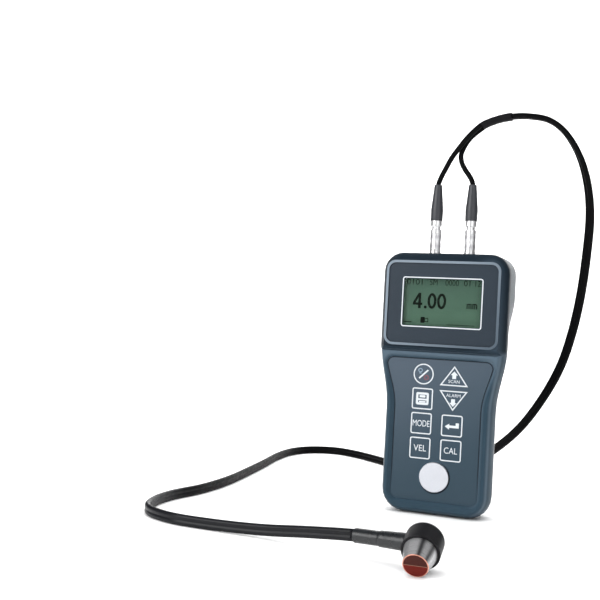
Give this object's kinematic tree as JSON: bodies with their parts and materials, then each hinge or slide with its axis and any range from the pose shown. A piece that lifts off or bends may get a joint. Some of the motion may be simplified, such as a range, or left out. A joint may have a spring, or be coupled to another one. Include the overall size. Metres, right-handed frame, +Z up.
{
  "type": "ultrasonic thickness gauge",
  "caption": "Hand-held ultrasonic thickness gauge: slab case with a display head, membrane keypad and steel test disc, and a contact probe on a twin lead.",
  "frame": {"origin": "centre of the gauge's flat bottom end, on which it stands", "axes": "+Z up the gauge's length, the display and keypad face -Y, +X to the viewer's right"},
  "size_m": [0.2414, 0.3635, 0.2317],
  "materials": {
    "case_front": "fine-textured dark slate moulding",
    "case_rear": "fine-textured dark slate moulding",
    "steel_dark": "blackened screws",
    "overlay": "printed satin film",
    "window": "clear acrylic",
    "lcd": "grey-green reflective display",
    "white_plastic": "white moulding",
    "film": "printed satin film",
    "steel": "spring steel",
    "test_steel": "fine-ground",
    "board": "solder-masked laminate",
    "cell": "wrapped cell",
    "plated": "satin nickel plate",
    "black_rubber": "black elastomer",
    "cable": "black jacket",
    "black_plastic": "satin black moulding",
    "probe_steel": "turned stainless steel",
    "delay": "ground translucent red-brown resin",
    "barrier": "cork-like acoustic barrier",
    "ceramic": "ceramic element"
  },
  "bodies": {
    "gauge": {"front_shell": "case_front", "rear_shell": "case_rear", "case_screws": "steel_dark", "display_overlay": "overlay", "display_window": "window", "lcd_glass": "lcd", "lcd_frame": "white_plastic", "keypad_overlay": "film", "key_domes": "steel", "test_block": "test_steel", "main_board": "board", "battery_1": "cell", "battery_2": "cell", "battery_contacts": "steel", "socket_left": "plated", "socket_right": "plated", "socket_nuts": "plated", "plug_left": "plated", "plug_right": "plated", "boot_left": "black_rubber", "boot_right": "black_rubber", "coax_left": "cable", "coax_right": "cable", "lead_sleeve": "cable", "twin_cable": "cable", "probe_boot": "black_rubber", "probe_cap": "black_plastic", "probe_case": "probe_steel", "delay_block_upper": "delay", "delay_block_lower": "delay", "acoustic_barrier": "barrier", "crystals": "ceramic"},
    "key_power": {"key_power": "film"},
    "key_up": {"key_up": "film"},
    "key_save": {"key_save": "film"},
    "key_down": {"key_down": "film"},
    "key_mode": {"key_mode": "film"},
    "key_enter": {"key_enter": "film"},
    "key_velocity": {"key_velocity": "film"},
    "key_calibrate": {"key_calibrate": "film"},
    "battery_door": {"battery_door": "case_rear"},
    "release_sleeve_left": {"release_sleeve_left": "plated"},
    "release_sleeve_right": {"release_sleeve_right": "plated"}
  },
  "joints": [
    {"name": "key_power_press", "type": "slide", "parent": "gauge", "child": "key_power", "axis": [0, 1, 0], "range_m": [0, 0.0004], "stiffness_N_per_m": 2500},
    {"name": "key_up_press", "type": "slide", "parent": "gauge", "child": "key_up", "axis": [0, 1, 0], "range_m": [0, 0.0004], "stiffness_N_per_m": 2500},
    {"name": "key_save_press", "type": "slide", "parent": "gauge", "child": "key_save", "axis": [0, 1, 0], "range_m": [0, 0.0004], "stiffness_N_per_m": 2500},
    {"name": "key_down_press", "type": "slide", "parent": "gauge", "child": "key_down", "axis": [0, 1, 0], "range_m": [0, 0.0004], "stiffness_N_per_m": 2500},
    {"name": "key_mode_press", "type": "slide", "parent": "gauge", "child": "key_mode", "axis": [0, 1, 0], "range_m": [0, 0.0004], "stiffness_N_per_m": 2500},
    {"name": "key_enter_press", "type": "slide", "parent": "gauge", "child": "key_enter", "axis": [0, 1, 0], "range_m": [0, 0.0004], "stiffness_N_per_m": 2500},
    {"name": "key_velocity_press", "type": "slide", "parent": "gauge", "child": "key_velocity", "axis": [0, 1, 0], "range_m": [0, 0.0004], "stiffness_N_per_m": 2500},
    {"name": "key_calibrate_press", "type": "slide", "parent": "gauge", "child": "key_calibrate", "axis": [0, 1, 0], "range_m": [0, 0.0004], "stiffness_N_per_m": 2500},
    {"name": "battery_door_slide", "type": "slide", "parent": "gauge", "child": "battery_door", "axis": [0, 0, -1], "range_m": [0, 0.004]},
    {"name": "release_left_pull", "type": "slide", "parent": "gauge", "child": "release_sleeve_left", "axis": [0, 0, 1], "range_m": [0, 0.0012], "stiffness_N_per_m": 1500},
    {"name": "release_right_pull", "type": "slide", "parent": "gauge", "child": "release_sleeve_right", "axis": [0, 0, 1], "range_m": [0, 0.0012], "stiffness_N_per_m": 1500}
  ]
}
